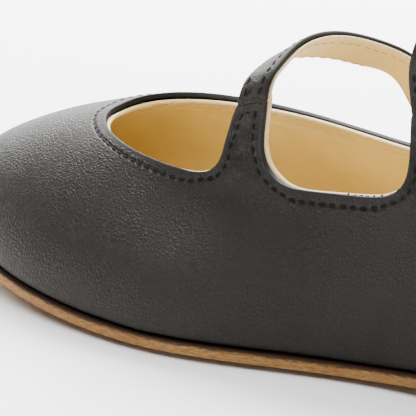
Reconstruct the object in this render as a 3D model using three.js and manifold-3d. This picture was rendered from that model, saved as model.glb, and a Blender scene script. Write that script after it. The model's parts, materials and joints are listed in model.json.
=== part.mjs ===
// Right-foot tap shoe with two straps. Millimetres, +Z up.
// The toe points along -X, the medial side (where the straps grow from) faces -Y.
// "length" is always measured from the toe tip of the sole; x = length - soleLength / 2.

import * as THREE from 'three';
import { mergeVertices } from 'three/addons/utils/BufferGeometryUtils.js';
import Module from 'manifold-3d';

const wasm = await Module();
wasm.setup();

// Overall sole
const soleLength = 250;
const toeSpring = 11; // how far the toe tip curls up
const springEnd = 84; // length at which the sole reaches its flat tread
const waistStart = 132; // length at which it leaves the flat tread again
const heelRise = 8; // rise of the sole over the heel stack
const seatStart = 215;

// Outlines: an ellipse to the widest place, an ease to the waist and the seat, an ellipse to the end.
// Each pair is [length, half width].
const soleOutline = {
  start: 0,
  end: soleLength,
  medial: { widest: [81, 42.2], waist: [148, 27.8], seat: [212, 30.5] },
  lateral: { widest: [95, 43.5], waist: [185, 31], seat: [212, 30.5] },
};
const toplineOutline = {
  start: 46.5,
  end: 247,
  medial: { widest: [88, 24.6], waist: [150, 25.4], seat: [212, 23.5] },
  lateral: { widest: [88, 29], waist: [130, 25.8], seat: [212, 23.5] },
};
// Height of the topline above the flat tread: at the throat, at its lowest place on each side, at the heel
const throatHeight = 40;
const heelHeight = 59;
const toplineDip = {
  medial: { length: 95, height: 36, power: 2, swell: 0 },
  lateral: { length: 118, height: 34.8, power: 3, swell: 2.7 },
};

// Layers, from the floor up
const gap = 0.3; // clearance between neighbouring pieces
const padThickness = 1.2;
const outsoleThickness = 2.6;
const fillerThickness = 1.1;
const shankThickness = 1;
const boardThickness = 1.6;
const sockThickness = 1.5;

// Layers, from the skin inwards
const upperThickness = 1.2;
const stiffenerThickness = 0.8;
const liningThickness = 0.9;
const liningGap = 0.6; // a little more than gap, for the sharp bends at the stubs
const featherInset = 0.4; // the sole edge stands out this far past the upper
const lastingMargin = 9;
const cornerRadius = 1;

// Straps
const strapWidth = 7.8;
const strapHole = 2.4;
const strapHalves = [-strapWidth / 2, -strapHole / 2, strapHole / 2, strapWidth / 2];
const strapThickness = 1;
const strapLiningThickness = 0.7;
const strapGap = 0.9; // between a strap and its stub, where the strap hinges

// Each stub is the tongue of the upper that a strap is sewn to.
// middle: its length station, width: at its root, fillets: radii in front and behind,
// rise: from fillet to seam, shift: how far the seam lies towards the heel, lean: outward lean,
// tilt: seam angle across the strap.
const frontStub = {
  middle: 100.8, width: 9.6, fillets: [8, 8.4], rise: 11, shift: 2.8, lean: 0.04, tilt: 0.3,
};
const rearStub = {
  middle: 148.8, width: 9.6, fillets: [8, 9], rise: 10, shift: 0.2, lean: 0.16, tilt: 0.15,
};

// Strap centre lines between the seam and the buckle: [length, y, z above the flat tread, tilt].
const frontStrap = {
  name: 'front',
  stub: frontStub,
  buckleLength: 118,
  buckleDrop: 13.5,
  arch: [
    [103.8, -20.5, 61.5, 0.4],
    [104, -11, 64.6, 0.6],
    [105.6, 0, 63.8, 0.8],
    [109, 10.5, 60.6, 0.8],
    [114, 20.5, 55.5, 0.5],
  ],
};
const rearStrap = {
  name: 'rear',
  stub: rearStub,
  buckleLength: 164,
  buckleDrop: 0,
  arch: [
    [149.6, -31, 70, 0.3],
    [151.5, -27.5, 81, 0.5],
    [154.5, -15, 90.5, 0.7],
    [158, 0, 92.5, 0.75],
    [161.5, 15, 87.5, 0.6],
    [163, 25, 80, 0.3],
  ],
};

// Buckle, in its own frame on the lateral topline: x along the shoe, y out of the wall, z up the wall
const barSize = 1.4; // square bars of the frame and the ring
const eyeRadius = 1.2; // hole that turns on a bar
const eyeWall = 0.7;
const tabWidth = 8;
const tabDepth = 12;
const ringPivot = { y: 2.1, z: 1.6 };
const ringPitch = 7.5;
const frameBar = { y: 4.3, z: 13.5 };
const framePitch = 11.5;
const frameLean = 0.9; // how far the far bar stands out past the pivot bar
const hookWidth = 8;
const hookThickness = 0.8;
const tongueWidth = 1.2;
const holePitch = 7;
const slotLength = 10; // slot that the tongue turns through, above the pivot bar
const slotBelow = 1.5; // and below the bar
// The strap below the arch, as [y past the wall, z]: under the far bar, over the pivot bar, over the hook
const strapTail = [[2, 25.4], [9.2, 13.8], [7.8, 5], [6.9, -3], [6.2, -8]];
const barPoint = 1; // the point of strapTail that lies over the pivot bar

// Screws, placed at [length, y]
const screwHeadRadius = 2.4;
const screwHeadHeight = 1.4;
const screwShankRadius = 1.1;
const screwSides = 8;
const screwLength = 5.2;
const toeScrews = [[11, 0], [26, -12], [26, 12]];
const heelScrews = [[237, 0], [214, -16], [214, 16]];

// Taps and heel
const toeTapEnd = 37;
const toeTapInset = 3;
const heelStart = 192;
const heelBoardStart = 199;
const heelTapStart = 203;
const heelInset = 1.2;
const liftThickness = 2.5;
const tapThickness = 2.1;
const tapBoardThickness = 0.9;

// Pieces under and inside the sole, by the lengths at which they start and end
const ballPad = { start: 52, end: 113, inset: 9 };
const shankPlate = { start: 138, end: 228, halfWidth: 6 };

// ---------------------------------------------------------------- shape of the last

function mix(a, b, t) {
  return a + (b - a) * t;
}

function ease(a, b, t) {
  return mix(a, b, 0.5 - 0.5 * Math.cos(Math.PI * t));
}

// The same height or depth everywhere.
function flat(value) {
  return () => value;
}

function xAt(length) {
  return length - soleLength / 2;
}

// Height of the outsole's underside.
function soleBottom(length) {
  const tread = padThickness + gap;
  if (length < springEnd) return tread + toeSpring * ((springEnd - length) / springEnd) ** 2;
  const t = THREE.MathUtils.smoothstep(length, waistStart, seatStart);
  return tread + heelRise * t;
}

function soleTop(length) {
  return soleBottom(length) + outsoleThickness;
}

function toplineHeight(side, length) {
  const tread = padThickness + gap;
  const dip = toplineDip[side];
  if (length < dip.length) {
    const t = (dip.length - length) / (dip.length - toplineOutline.start);
    const swell = dip.swell * Math.sin(Math.PI * Math.sqrt(1 - t));
    return tread + mix(dip.height, throatHeight, t ** dip.power) + swell;
  }
  const t = (length - dip.length) / (toplineOutline.end - dip.length);
  return tread + mix(dip.height, heelHeight, t ** 1.5);
}

function halfWidth(outline, side, length) {
  const { widest, waist, seat } = outline[side];
  if (length < widest[0]) {
    const t = (widest[0] - length) / (widest[0] - outline.start);
    return widest[1] * Math.sqrt(Math.max(0, 1 - t * t));
  }
  if (length < waist[0]) return ease(widest[1], waist[1], (length - widest[0]) / (waist[0] - widest[0]));
  if (length < seat[0]) return ease(waist[1], seat[1], (length - waist[0]) / (seat[0] - waist[0]));
  const t = (length - seat[0]) / (outline.end - seat[0]);
  return seat[1] * Math.sqrt(Math.max(0, 1 - t * t));
}

function insetOutline(outline, inset, endInset = inset) {
  const narrow = (pair) => [pair[0], pair[1] - inset];
  const narrowSide = ({ widest, waist, seat }) => ({
    widest: narrow(widest),
    waist: narrow(waist),
    seat: narrow(seat),
  });
  return {
    start: outline.start + endInset,
    end: outline.end - endInset,
    medial: narrowSide(outline.medial),
    lateral: narrowSide(outline.lateral),
  };
}

// ---------------------------------------------------------------- solids

// Closes two matching layers of points into one solid: the outer faces, the reversed inner ones,
// and a wall along every free edge. Points of a layer that coincide count as one.
function closeLayers(outer, inner, quads) {
  const firstAt = new Map();
  const same = outer.map((point, index) => {
    const key = placeKey(point);
    if (!firstAt.has(key)) firstAt.set(key, index);
    return firstAt.get(key);
  });
  const faces = [];
  const edges = new Set();
  for (const quad of quads) {
    const [a, b, c, d] = quad.map((index) => same[index]);
    for (const face of [[a, b, c], [a, c, d]]) {
      if (new Set(face).size < 3) continue;
      faces.push(face);
      face.forEach((from, side) => edges.add(`${from},${face[(side + 1) % 3]}`));
    }
  }
  const count = outer.length;
  const index = [];
  for (const [a, b, c] of faces) index.push(a, b, c, count + c, count + b, count + a);
  for (const edge of edges) {
    const [from, to] = edge.split(',').map(Number);
    if (edges.has(`${to},${from}`)) continue;
    index.push(to, from, count + from, to, count + from, count + to);
  }
  const geometry = new THREE.BufferGeometry();
  geometry.setAttribute('position', new THREE.Float32BufferAttribute(
    [...outer, ...inner].flatMap((point) => point.toArray()), 3));
  geometry.setIndex(index);
  return geometry;
}

function placeKey(point) {
  return point.toArray().map((value) => value.toFixed(4)).join();
}

// Averaged outward normals of a surface of quads; points that coincide share one normal.
function quadNormals(points, quads) {
  const sums = new Map(points.map((point) => [placeKey(point), new THREE.Vector3()]));
  for (const [a, b, c, d] of quads) {
    const normal = new THREE.Vector3().subVectors(points[c], points[a]);
    normal.cross(new THREE.Vector3().subVectors(points[d], points[b]));
    const keys = new Set([a, b, c, d].map((corner) => placeKey(points[corner])));
    for (const key of keys) sums.get(key).add(normal);
  }
  return points.map((point) => sums.get(placeKey(point)).clone().normalize());
}

// A shell between two depths under some quads of a surface; a depth is a function of the point's index.
function shell(surface, pick, depthOuter, depthInner) {
  const quads = surface.quads.filter(pick);
  const used = [...new Set(quads.flat())];
  const place = new Map(used.map((index, at) => [index, at]));
  const layerAt = (depth) => used.map((index) => (
    surface.points[index].clone().addScaledVector(surface.normals[index], -depth(index))));
  return closeLayers(layerAt(depthOuter), layerAt(depthInner),
    quads.map((quad) => quad.map((index) => place.get(index))));
}

// Lengths at which a layer of the sole has a row of points, closer together round both ends.
function layerLengths(outline, from, to) {
  const shortSteps = 12;
  if (to - from < 60) {
    return Array.from({ length: shortSteps + 1 }, (_, i) => ease(from, to, i / shortSteps));
  }
  const toeEnd = outline.medial.widest[0];
  const seat = outline.medial.seat[0];
  const lengths = [];
  const toeSteps = 9;
  const waistSteps = 13;
  const heelSteps = 7;
  for (let i = 0; i < toeSteps; i += 1) {
    lengths.push(toeEnd - (toeEnd - outline.start) * Math.cos((i / toeSteps) * Math.PI / 2));
  }
  for (let i = 0; i < waistSteps; i += 1) lengths.push(mix(toeEnd, seat, i / waistSteps));
  for (let i = 0; i <= heelSteps; i += 1) {
    lengths.push(seat + (outline.end - seat) * Math.sin((i / heelSteps) * Math.PI / 2));
  }
  const inside = lengths.filter((length) => length > from + 1 && length < to - 1);
  return [from, ...inside, to];
}

// A layer of the sole between two heights, which may bend along the shoe but is straight across it.
function layer(outline, from, to, bottom, top, width = halfWidth) {
  const across = 3;
  const lengths = layerLengths(outline, from, to);
  const points = [[], []];
  for (const length of lengths) {
    const medial = -width(outline, 'medial', length);
    const lateral = width(outline, 'lateral', length);
    for (let j = 0; j <= across; j += 1) {
      const y = mix(medial, lateral, j / across);
      points[0].push(new THREE.Vector3(xAt(length), y, top(length)));
      points[1].push(new THREE.Vector3(xAt(length), y, bottom(length)));
    }
  }
  const quads = [];
  for (let i = 0; i + 1 < lengths.length; i += 1) {
    for (let j = 0; j < across; j += 1) {
      const corner = i * (across + 1) + j;
      quads.push([corner, corner + across + 1, corner + across + 2, corner + 1]);
    }
  }
  return closeLayers(points[0], points[1], quads);
}

function toManifold(geometry) {
  const bare = geometry.clone();
  bare.deleteAttribute('normal');
  bare.deleteAttribute('uv');
  const merged = mergeVertices(bare, 1e-4);
  const vertProperties = new Float32Array(merged.attributes.position.array);
  const triVerts = new Uint32Array(merged.index.array);
  return new wasm.Manifold(new wasm.Mesh({ numProp: 3, vertProperties, triVerts }));
}

function cutWith(geometry, cutters) {
  let solid = toManifold(geometry);
  for (const cutter of cutters) solid = solid.subtract(toManifold(cutter));
  const mesh = solid.getMesh();
  const result = new THREE.BufferGeometry();
  result.setAttribute('position', new THREE.BufferAttribute(mesh.vertProperties, 3));
  result.setIndex(new THREE.BufferAttribute(mesh.triVerts, 1));
  return result;
}

// ---------------------------------------------------------------- materials

function material(color, roughness, metalness = 0) {
  return new THREE.MeshStandardMaterial({ color, roughness, metalness });
}

const blackLeather = () => material(0x2b2826, 0.5);
const liningLeather = () => material(0xc89a5a, 0.75);
const soleLeather = () => material(0xa5744a, 0.8);
const board = () => material(0x8a6f4e, 0.9);
const cork = () => material(0xa9794b, 0.95);
const stiffener = () => material(0xd9d2c0, 0.8);
const rubber = () => material(0x1c1c1c, 0.85);
const spring = () => material(0x8b9096, 0.4, 1);
const aluminium = () => material(0xc4c7ca, 0.35, 1);
const nickel = () => material(0xb9bcc0, 0.25, 1);

const shoe = new THREE.Group();

function addPart(name, geometry, look, parent = shoe) {
  const mesh = new THREE.Mesh(geometry, look);
  mesh.name = name;
  parent.add(mesh);
  return mesh;
}

// ---------------------------------------------------------------- upper surface

const toeColumns = 10;
const heelColumns = 6;
const filletSteps = 3;
const wallRows = [0, 0.08, 0.22, 0.38, 0.54, 0.7, 0.86, 1];
const stubRows = 2;

// One rib of the upper runs from the feather edge (foot) to the topline (top), and on to the crest
// where a fillet lifts the topline towards a stub.
function rib(side, footLength, topLength, rise, crown, extra = {}) {
  const feather = insetOutline(soleOutline, featherInset);
  const sign = side === 'medial' ? -1 : 1;
  const foot = new THREE.Vector3(
    xAt(footLength), sign * halfWidth(feather, side, footLength),
    soleTop(footLength) + gap + cornerRadius);
  const topY = halfWidth(toplineOutline, side, topLength);
  const top = new THREE.Vector3(xAt(topLength), sign * topY, toplineHeight(side, topLength));
  const crest = top.clone().add(new THREE.Vector3(0, sign * (extra.lean ?? 0) * rise, rise));
  return { foot, top, crest, crown, ...extra };
}

// Topline stations on the medial side, where each stub rises out of it through two fillets.
function stubStations(stub) {
  const stations = [];
  const front = stub.middle - stub.width / 2;
  const rear = stub.middle + stub.width / 2;
  for (let i = 0; i < filletSteps; i += 1) {
    const angle = (i / filletSteps) * Math.PI / 2;
    const radius = stub.fillets[0];
    const length = front - radius * (1 - Math.sin(angle));
    stations.push({ length, rise: radius * (1 - Math.cos(angle)) });
  }
  for (const offset of strapHalves) {
    const t = offset / strapWidth + 0.5;
    const length = mix(front, rear, t);
    stations.push({ length, rise: mix(stub.fillets[0], stub.fillets[1], t), stub, offset });
  }
  for (let i = filletSteps - 1; i >= 0; i -= 1) {
    const angle = (i / filletSteps) * Math.PI / 2;
    const radius = stub.fillets[1];
    const length = rear + radius * (1 - Math.sin(angle));
    stations.push({ length, rise: radius * (1 - Math.cos(angle)) });
  }
  return stations.map((station) => ({ ...station, lean: stub.lean }));
}

function evenStations(from, to, steps) {
  const lengthAt = (i) => mix(from, to, (i + 1) / (steps + 1));
  return Array.from({ length: steps }, (_, i) => ({ length: lengthAt(i), rise: 0 }));
}

function sideRibs(side) {
  const feather = insetOutline(soleOutline, featherInset);
  const footEnds = [feather[side].widest[0], feather[side].seat[0]];
  const topEnds = [toplineOutline[side].widest[0], toplineOutline[side].seat[0]];
  const ribs = [];
  for (let i = 1; i <= toeColumns; i += 1) {
    const angle = (i / toeColumns) * Math.PI / 2;
    const footLength = footEnds[0] - (footEnds[0] - feather.start) * Math.cos(angle);
    const topLength = topEnds[0] - (topEnds[0] - toplineOutline.start) * Math.cos(angle);
    if (i < toeColumns) ribs.push(rib(side, footLength, topLength, 0, Math.cos(angle) ** 0.7));
  }
  const frontStations = stubStations(frontStub);
  const rearStations = stubStations(rearStub);
  const between = evenStations(frontStations.at(-1).length, rearStations[0].length, 3);
  const behind = evenStations(rearStations.at(-1).length, topEnds[1], 4);
  const stations = side === 'medial'
    ? [...frontStations, ...between, ...rearStations, ...behind]
    : [{ length: topEnds[0], rise: 0 }, ...evenStations(topEnds[0], topEnds[1], 11)];
  for (const { length, rise, ...extra } of stations) {
    const t = (length - topEnds[0]) / (topEnds[1] - topEnds[0]);
    ribs.push(rib(side, mix(footEnds[0], footEnds[1], t), length, rise, 0, extra));
  }
  for (let i = 0; i < heelColumns; i += 1) {
    const angle = (i / heelColumns) * Math.PI / 2;
    const footLength = footEnds[1] + (feather.end - footEnds[1]) * Math.sin(angle);
    const topLength = topEnds[1] + (toplineOutline.end - topEnds[1]) * Math.sin(angle);
    ribs.push(rib(side, footLength, topLength, 0, 0));
  }
  return ribs;
}

// The ribs all round, from the toe along the medial side to the heel and back along the lateral side.
function allRibs() {
  const feather = insetOutline(soleOutline, featherInset);
  const toe = rib('medial', feather.start, toplineOutline.start, 0, 1);
  const heel = rib('medial', feather.end, toplineOutline.end, 0, 0);
  const ribs = [toe, ...sideRibs('medial'), heel, ...sideRibs('lateral').reverse()];
  const up = new THREE.Vector3(0, 0, 1);
  ribs.forEach((each, i) => {
    const before = ribs[(i + ribs.length - 1) % ribs.length].foot;
    const after = ribs[(i + 1) % ribs.length].foot;
    const along = new THREE.Vector3().subVectors(after, before).setZ(0).normalize();
    each.inward = new THREE.Vector3().crossVectors(up, along);
  });
  return ribs;
}

const ribs = allRibs();
const toeRib = 0;
const heelRib = ribs.findIndex((each) => each.foot.x === Math.max(...ribs.map(({ foot }) => foot.x)));

// The four control points of a rib's wall: upright at the foot, rolling flat at the top over the toes.
function wallCurve({ foot, top, crown, inward }) {
  const rise = top.z - foot.z;
  const reach = new THREE.Vector3().subVectors(foot, top).setZ(0);
  const heelward = THREE.MathUtils.smoothstep(foot.x, xAt(190), xAt(250));
  const bulge = mix(1.2, 2.4, heelward) * (1 - crown);
  const low = foot.clone().addScaledVector(inward, -bulge);
  low.z += rise * 0.52;
  const high = top.clone().addScaledVector(reach, mix(0.14, 0.42, crown));
  high.z -= rise * mix(0.34, 0.14, crown);
  return new THREE.CubicBezierCurve3(foot, low, high, top);
}

// Points of the outer skin: two rows of lasting margin, the rows of the wall, the crest, the stubs.
function skin() {
  const points = [];
  const rows = wallRows.length + 3;
  for (const each of ribs) {
    for (const inset of [lastingMargin, cornerRadius]) {
      const point = each.foot.clone().addScaledVector(each.inward, inset);
      points.push(point.setZ(soleTop(point.x + soleLength / 2) + gap));
    }
    const curve = wallCurve(each);
    for (const t of wallRows) points.push(curve.getPoint(t));
    points.push(each.crest.clone());
  }
  const quads = [];
  for (let i = 0; i < ribs.length; i += 1) {
    const next = (i + 1) % ribs.length;
    for (let j = 0; j + 1 < rows; j += 1) {
      quads.push([i * rows + j, next * rows + j, next * rows + j + 1, i * rows + j + 1]);
    }
  }
  for (const stub of [frontStub, rearStub]) addStub(stub, points, quads, rows);
  return { points, quads, rows, normals: quadNormals(points, quads) };
}

// The seam point of a stub at an offset across it.
function seamPoint(stub, offset) {
  const base = toplineHeight('medial', stub.middle) + (stub.fillets[0] + stub.fillets[1]) / 2;
  const rise = (stub.fillets[0] + stub.fillets[1]) / 2 + stub.rise;
  const y = -halfWidth(toplineOutline, 'medial', stub.middle) - stub.lean * rise;
  return new THREE.Vector3(
    xAt(stub.middle) + stub.shift + offset * Math.cos(stub.tilt),
    y,
    base + stub.rise + offset * Math.sin(stub.tilt));
}

function addStub(stub, points, quads, rows) {
  const columns = ribs.flatMap((each, index) => (each.stub === stub ? [index] : []));
  let below = columns.map((column) => column * rows + rows - 1);
  for (let row = 1; row <= stubRows; row += 1) {
    const above = columns.map((column) => {
      points.push(ribs[column].crest.clone().lerp(seamPoint(stub, ribs[column].offset), row / stubRows));
      return points.length - 1;
    });
    for (let i = 0; i + 1 < columns.length; i += 1) {
      quads.push([below[i], below[i + 1], above[i + 1], above[i]]);
    }
    below = above;
  }
}

const outerSkin = skin();

// Which rib and row a quad of the skin belongs to; stub quads sit above the last row.
function ribOf(quad) {
  return Math.floor(quad[0] / outerSkin.rows);
}

function rowOf(quad) {
  return quad[0] % outerSkin.rows;
}

function isStub(quad) {
  return quad[3] >= ribs.length * outerSkin.rows;
}

// Steps from one rib to the nearest of the two ribs that touch a quad.
function ribsFrom(quad, centre) {
  const count = ribs.length;
  const steps = (ribOf(quad) - centre + count) % count;
  return Math.min(steps, count - 1 - steps);
}

const puffReach = 9; // ribs covered on each side of the toe
const puffTopRow = 8;
const counterReach = 8; // ribs covered on each side of the heel
const counterTopRow = 7;

// Extra depth of the lining where a stiffener lies between it and the upper.
function stiffenerDepth(index) {
  if (index >= ribs.length * outerSkin.rows) return 0;
  const column = Math.floor(index / outerSkin.rows);
  const row = index % outerSkin.rows;
  const distance = (centre) => {
    const steps = Math.abs(column - centre);
    return Math.min(steps, ribs.length - steps);
  };
  const full = stiffenerThickness + gap;
  const overToe = distance(toeRib) <= puffReach && row <= puffTopRow;
  const overHeel = distance(heelRib) <= counterReach && row <= counterTopRow;
  return overToe || overHeel ? full : 0;
}

function addUpper() {
  const margin = 2;
  const stiffenerOuter = flat(upperThickness + gap);
  const stiffenerInner = flat(upperThickness + gap + stiffenerThickness);
  const liningOuter = (index) => upperThickness + liningGap + stiffenerDepth(index);
  const liningInner = (index) => liningOuter(index) + liningThickness;
  addPart('upper', shell(outerSkin, () => true, flat(0), flat(upperThickness)), blackLeather());
  const isWall = (quad) => isStub(quad) || rowOf(quad) > margin;
  addPart('upper_lining', shell(outerSkin, isWall, liningOuter, liningInner), liningLeather());
  const isPuff = (quad) => !isStub(quad) && ribsFrom(quad, toeRib) < puffReach
    && rowOf(quad) > margin && rowOf(quad) < puffTopRow;
  addPart('toe_puff', shell(outerSkin, isPuff, stiffenerOuter, stiffenerInner), stiffener());
  const isCounter = (quad) => !isStub(quad) && ribsFrom(quad, heelRib) < counterReach
    && rowOf(quad) > margin && rowOf(quad) < counterTopRow;
  addPart('heel_counter', shell(outerSkin, isCounter, stiffenerOuter, stiffenerInner), stiffener());
  const isBackStrip = (quad) => !isStub(quad) && ribsFrom(quad, heelRib) < 1 && rowOf(quad) > margin;
  addPart('back_strip', shell(outerSkin, isBackStrip, flat(-gap - 0.9), flat(-gap)), blackLeather());
}

// ---------------------------------------------------------------- sole

function screwProfile(headRadius, shankRadius, length) {
  return [
    [0, 0],
    [headRadius, 0],
    [headRadius, 0.3],
    [shankRadius, screwHeadHeight],
    [shankRadius, length - 1],
    [0, length],
  ].map(([r, z]) => new THREE.Vector2(r, z));
}

// A countersunk screw driven upwards, its head at z = 0.
function screwGeometry(length) {
  const profile = screwProfile(screwHeadRadius, screwShankRadius, length);
  return new THREE.LatheGeometry(profile, screwSides).rotateX(Math.PI / 2);
}

// The room that a screw needs: its own shape grown by the gap, and open below.
function screwHole(length, place) {
  const profile = screwProfile(screwHeadRadius + gap, screwShankRadius + gap, length + gap);
  profile[0].y = -3;
  profile[1].y = -3;
  const geometry = new THREE.LatheGeometry(profile, screwSides).rotateX(Math.PI / 2);
  return geometry.translate(...place.toArray());
}

function screwPlaces(spots, bottom) {
  return spots.map(([length, y]) => new THREE.Vector3(xAt(length), y, bottom(length) + gap));
}

function addScrews(name, places, length) {
  places.forEach((place, i) => {
    addPart(`${name}_${i + 1}`, screwGeometry(length), nickel()).position.copy(place);
  });
}

// The toe tap follows the toe outline in front and is rounded off behind.
function toeTapWidth(outline, side, length) {
  const widestAt = 15;
  const front = halfWidth(outline, side, length);
  if (length < widestAt) return front;
  const t = (length - widestAt) / (toeTapEnd - widestAt);
  return halfWidth(outline, side, widestAt) * Math.sqrt(Math.max(0, 1 - 0.9 * t * t));
}

function addSole() {
  const margin = gap + upperThickness + gap;
  const tapOutline = insetOutline(soleOutline, toeTapInset);
  const tapBoardBottom = (length) => soleBottom(length) - gap - tapBoardThickness;
  const toeTapTop = (length) => tapBoardBottom(length) - gap;
  const toeTapBottom = (length) => toeTapTop(length) - tapThickness;
  const toeScrewPlaces = screwPlaces(toeScrews, toeTapBottom);
  const toeHoles = toeScrewPlaces.map((place) => screwHole(screwLength, place));

  const outsole = layer(soleOutline, 0, soleLength, soleBottom, soleTop);
  addPart('outsole', cutWith(outsole, toeHoles), soleLeather());

  const toeTap = layer(tapOutline, tapOutline.start, toeTapEnd, toeTapBottom, toeTapTop, toeTapWidth);
  addPart('toe_tap', cutWith(toeTap, toeHoles), aluminium());
  const toeBoard = layer(tapOutline, tapOutline.start, toeTapEnd, tapBoardBottom,
    (length) => soleBottom(length) - gap, toeTapWidth);
  addPart('toe_tap_board', cutWith(toeBoard, toeHoles), board());
  addScrews('toe_tap_screw', toeScrewPlaces, screwLength);

  const padTop = (length) => soleBottom(length) - gap;
  const padBottom = (length) => padTop(length) - padThickness;
  const padOutline = insetOutline(soleOutline, ballPad.inset);
  addPart('ball_pad', layer(padOutline, ballPad.start, ballPad.end, padBottom, padTop), rubber());

  const fillerBottom = (length) => soleTop(length) + gap;
  const fillerTop = (length) => fillerBottom(length) + fillerThickness;
  const fillerOutline = insetOutline(soleOutline, featherInset + lastingMargin + 1.5);
  addPart('cork_filler', layer(fillerOutline, fillerOutline.start, waistStart,
    fillerBottom, fillerTop), cork());
  const shankTop = (length) => fillerBottom(length) + shankThickness;
  addPart('shank', layer(soleOutline, shankPlate.start, shankPlate.end, fillerBottom, shankTop,
    () => shankPlate.halfWidth), spring());

  const boardBottom = (length) => soleTop(length) + margin;
  const boardTop = (length) => boardBottom(length) + boardThickness;
  const boardOutline = insetOutline(soleOutline, featherInset + upperThickness + 0.8);
  addPart('insole_board', layer(boardOutline, boardOutline.start, boardOutline.end,
    boardBottom, boardTop), board());
  const sockOutline = insetOutline(soleOutline, featherInset + 4.4, featherInset + 5.4);
  const sockBottom = (length) => boardTop(length) + gap;
  const sockTop = (length) => sockBottom(length) + sockThickness;
  addPart('sock_lining', layer(sockOutline, sockOutline.start, sockOutline.end,
    sockBottom, sockTop), liningLeather());
}

// The heel is a tap, its board and two leather lifts; only the top lift follows the bend of the sole.
function addHeel() {
  const heelOutline = insetOutline(soleOutline, heelInset);
  const boardBottom = tapThickness + gap;
  const boardTop = boardBottom + tapBoardThickness;
  const lowLiftTop = boardTop + gap + liftThickness;
  const places = screwPlaces(heelScrews, flat(0));
  const holes = places.map((place) => screwHole(screwLength, place));
  const heelTapOutline = insetOutline(soleOutline, heelInset + 1);

  const tap = layer(heelTapOutline, heelTapStart, heelTapOutline.end, flat(0), flat(tapThickness));
  addPart('heel_tap', cutWith(tap, holes), aluminium());
  const tapBoard = layer(heelTapOutline, heelBoardStart, heelTapOutline.end,
    flat(boardBottom), flat(boardTop));
  addPart('heel_tap_board', cutWith(tapBoard, holes), board());
  const lowLift = layer(heelOutline, heelStart, heelOutline.end, flat(boardTop + gap), flat(lowLiftTop));
  addPart('heel_lift_lower', cutWith(lowLift, holes), soleLeather());
  addPart('heel_lift_upper', layer(heelOutline, heelStart, heelOutline.end,
    flat(lowLiftTop + gap), (length) => soleBottom(length) - gap), soleLeather());
  addScrews('heel_tap_screw', places, screwLength);
}

// ---------------------------------------------------------------- straps

// The group that holds a buckle: on the lateral wall, below the topline and leaning with the wall.
function buckleGroup({ buckleLength, buckleDrop }) {
  const distance = ({ top }) => Math.abs(top.x - xAt(buckleLength));
  const nearest = ribs.filter(({ foot }) => foot.y > 1)
    .reduce((best, each) => (distance(each) < distance(best) ? each : best));
  const wall = wallCurve(nearest);
  let t = 1;
  while (nearest.top.z - wall.getPoint(t).z < buckleDrop) t -= 0.005;
  const up = wall.getTangent(t);
  const group = new THREE.Group();
  group.position.copy(wall.getPoint(t));
  group.rotation.x = Math.atan2(-up.y, up.z);
  group.wall = wall;
  shoe.add(group);
  group.updateMatrixWorld(true);
  return group;
}

// How far the wall stands out at a height below the middle of a buckle's group.
function wallReach(buckle, z) {
  const point = buckle.worldToLocal(buckle.wall.getPoint(1));
  for (let t = 1; point.z > z; t -= 0.005) point.copy(buckle.worldToLocal(buckle.wall.getPoint(t)));
  return Math.max(0, point.y);
}

// Centre line of a strap's outer skin, with the tilt of the strap at each of its points.
function strapLine(strap, buckle) {
  const { stub } = strap;
  const seam = seamPoint(stub, 0);
  const tread = padThickness + gap;
  const upwards = new THREE.Vector3(stub.shift / (stub.fillets[0] + stub.rise), -stub.lean, 1).normalize();
  const arch = strap.arch.map(([length, y, z]) => new THREE.Vector3(xAt(length), y, z + tread));
  const tail = strapTail.map(([y, z]) => new THREE.Vector3(0, wallReach(buckle, z) + y, z));
  tail.forEach((point) => buckle.localToWorld(point));
  const start = seam.clone().addScaledVector(upwards, strapGap);
  const second = seam.clone().addScaledVector(upwards, 3.5);
  const curve = new THREE.CatmullRomCurve3([start, second, ...arch, ...tail], false, 'centripetal');
  const tilts = [stub.tilt, stub.tilt, ...strap.arch.map((point) => point[3]), ...strapTail.map(() => 0)];
  return { curve, tilts };
}

// Arc distances of the rows of a strap, with a pair of rows round each hole.
function strapRows(total, holes, slot) {
  const edges = holes.flatMap((at) => [at - strapHole / 2, at + strapHole / 2]);
  const marks = [0, ...edges, ...slot, total - strapWidth / 2, total].sort((a, b) => a - b);
  const rows = [];
  for (let i = 0; i + 1 < marks.length; i += 1) {
    const steps = Math.max(1, Math.round((marks[i + 1] - marks[i]) / 4.5));
    for (let k = 0; k < steps; k += 1) rows.push(mix(marks[i], marks[i + 1], k / steps));
  }
  return [...rows, mix(total - strapWidth / 2, total, 0.8), total].sort((a, b) => a - b);
}

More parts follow.
